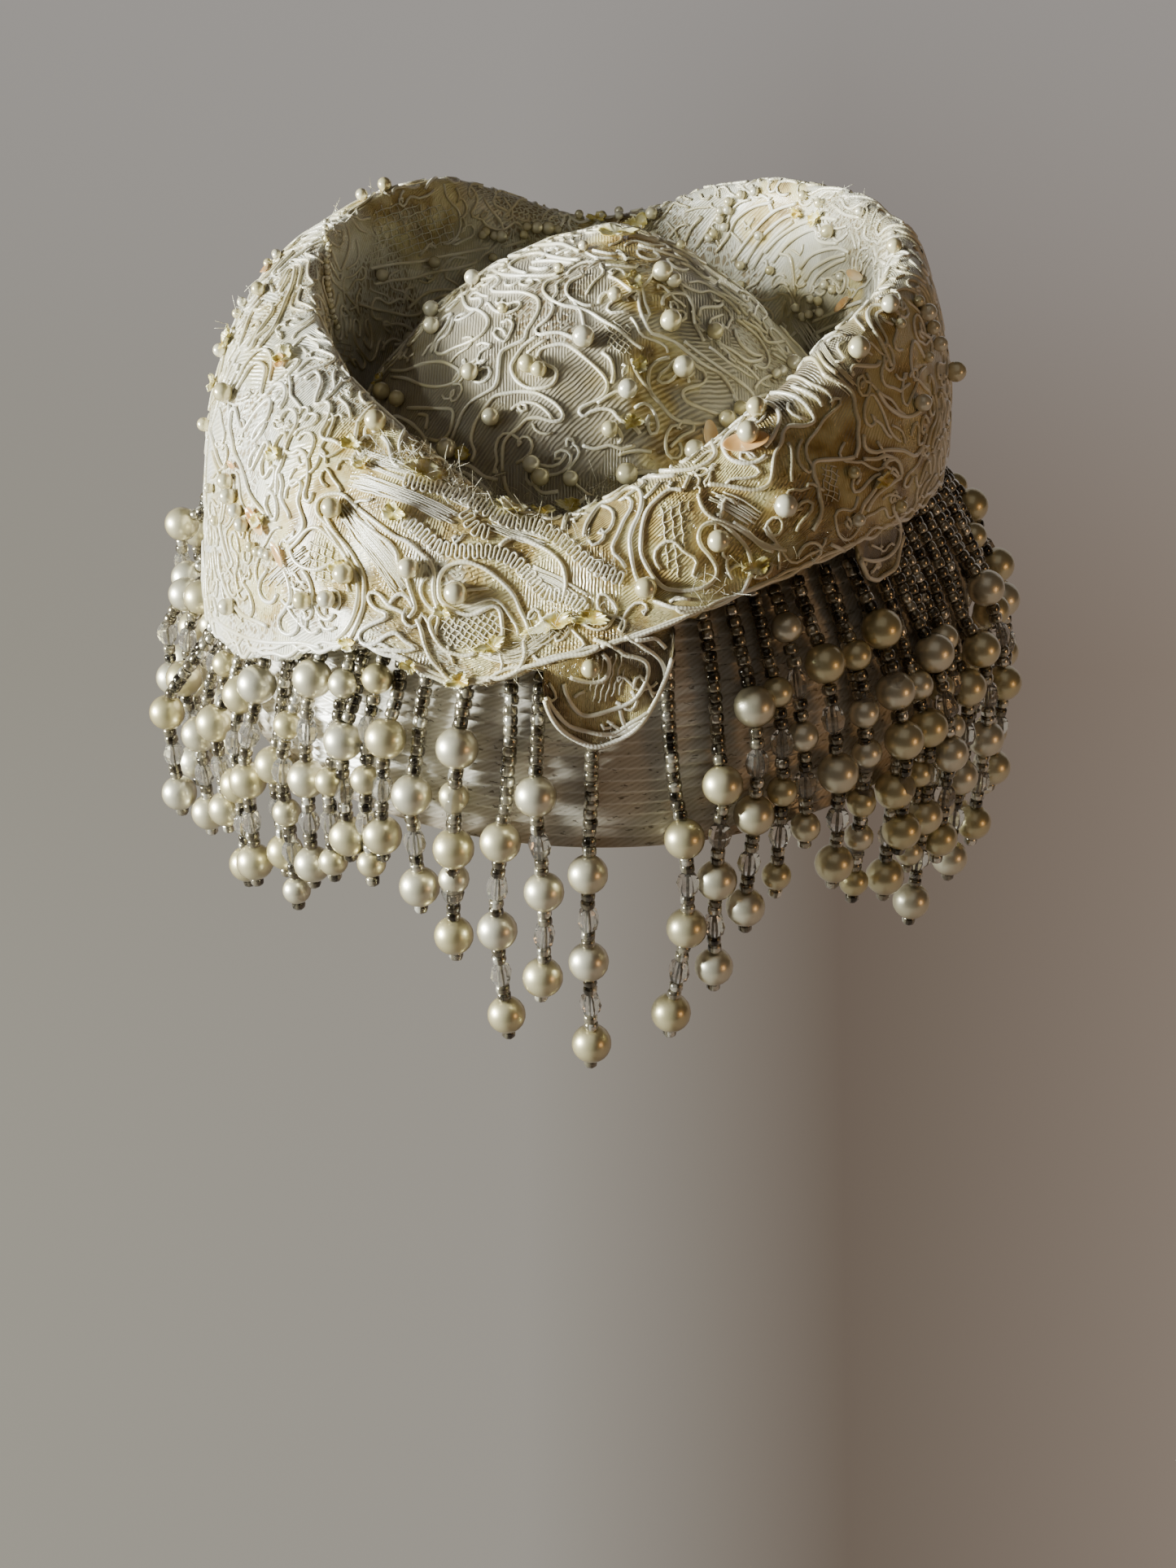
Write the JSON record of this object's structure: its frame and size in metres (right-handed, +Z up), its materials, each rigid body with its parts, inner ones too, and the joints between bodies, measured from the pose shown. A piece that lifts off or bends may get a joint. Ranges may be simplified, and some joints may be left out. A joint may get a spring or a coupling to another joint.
{
  "type": "beaded lace cap",
  "caption": "Stiff lace-covered cocktail cap on a woven straw band, with an upturned rolled brim and a fringe of pearl and crystal bead strings.",
  "frame": {"origin": "middle of the rim's plane, where the cap sits on a head", "axes": "+Z up through the crown, -Y the front, +X to the right seen from the front"},
  "size_m": [0.1913, 0.1916, 0.1416],
  "materials": {
    "straw": "woven glossy viscose straw in rows, cream",
    "crown_lace": "corded lace over cream organza",
    "brim_lace": "corded lace over cream organza with yellowed stains",
    "pearl": "cream imitation pearl with a soft lustre",
    "small_pearl": "small white imitation pearls sewn on the lace",
    "seed_bead": "clear glass seed beads with a silvered lining",
    "crystal": "clear faceted oval beads",
    "sequin": "thin pearly peach sequins"
  },
  "bodies": {
    "root": {"straw_band": "straw", "straw_shoulder": "straw", "crown": "crown_lace", "brim_roll": "brim_lace", "lace_motif_front": "brim_lace", "lace_motif_right": "brim_lace", "strand_01": "pearl", "strand_02": "pearl", "strand_03": "pearl", "strand_04": "pearl", "strand_05": "pearl", "strand_06": "pearl", "strand_07": "pearl", "strand_08": "pearl", "strand_09": "pearl", "strand_10": "pearl", "strand_11": "pearl", "strand_12": "pearl", "strand_13": "pearl", "strand_14": "pearl", "strand_15": "pearl", "strand_16": "pearl", "strand_17": "pearl", "strand_18": "pearl", "strand_19": "pearl", "strand_20": "pearl", "strand_21": "pearl", "strand_22": "pearl", "strand_23": "pearl", "strand_24": "pearl", "strand_25": "pearl", "strand_26": "pearl", "strand_27": "pearl", "strand_28": "pearl", "strand_29": "pearl", "strand_30": "pearl", "strand_31": "pearl", "strand_32": "pearl", "strand_33": "pearl", "strand_34": "pearl", "strand_35": "pearl", "strand_36": "pearl", "strand_37": "pearl", "strand_38": "pearl", "strand_39": "pearl", "strand_40": "pearl", "strand_41": "pearl", "strand_42": "pearl", "strand_43": "pearl", "strand_44": "pearl", "strand_45": "pearl", "strand_46": "pearl", "strand_47": "pearl", "strand_48": "pearl", "strand_49": "pearl", "strand_50": "pearl", "strand_51": "pearl", "strand_52": "pearl"}
  },
  "joints": []
}
